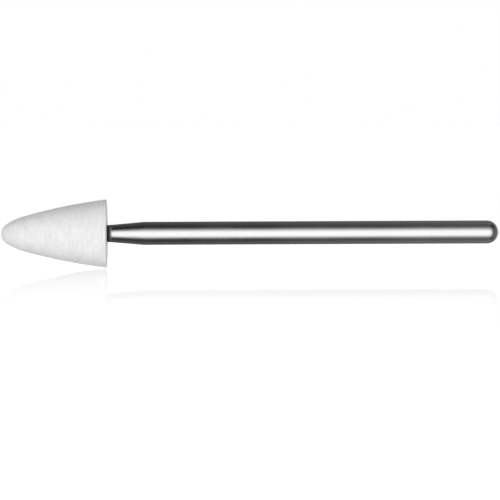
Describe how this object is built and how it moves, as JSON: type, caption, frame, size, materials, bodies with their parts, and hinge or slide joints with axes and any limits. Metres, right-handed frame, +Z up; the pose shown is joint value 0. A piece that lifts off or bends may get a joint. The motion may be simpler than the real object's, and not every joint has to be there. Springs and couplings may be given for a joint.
{
  "type": "mounted point",
  "caption": "White rounded-cone abrasive head cemented on a plain steel shank with a tapered neck and a domed end, for grinding with a rotary handpiece.",
  "frame": {"origin": "on the spin axis where the parallel shank begins, at the wide end of the tapered neck", "axes": "+X along the spin axis from the nose to the free end of the shank, +Z up"},
  "size_m": [0.0502, 0.0068, 0.0068],
  "materials": {
    "abrasive": "matt white, fine open grain with faint turned streaks",
    "cement": "matt set cement",
    "steel": "ground and polished"
  },
  "bodies": {
    "root": {"abrasive_head": "abrasive", "cement_bond": "cement", "shank": "steel"}
  },
  "joints": []
}
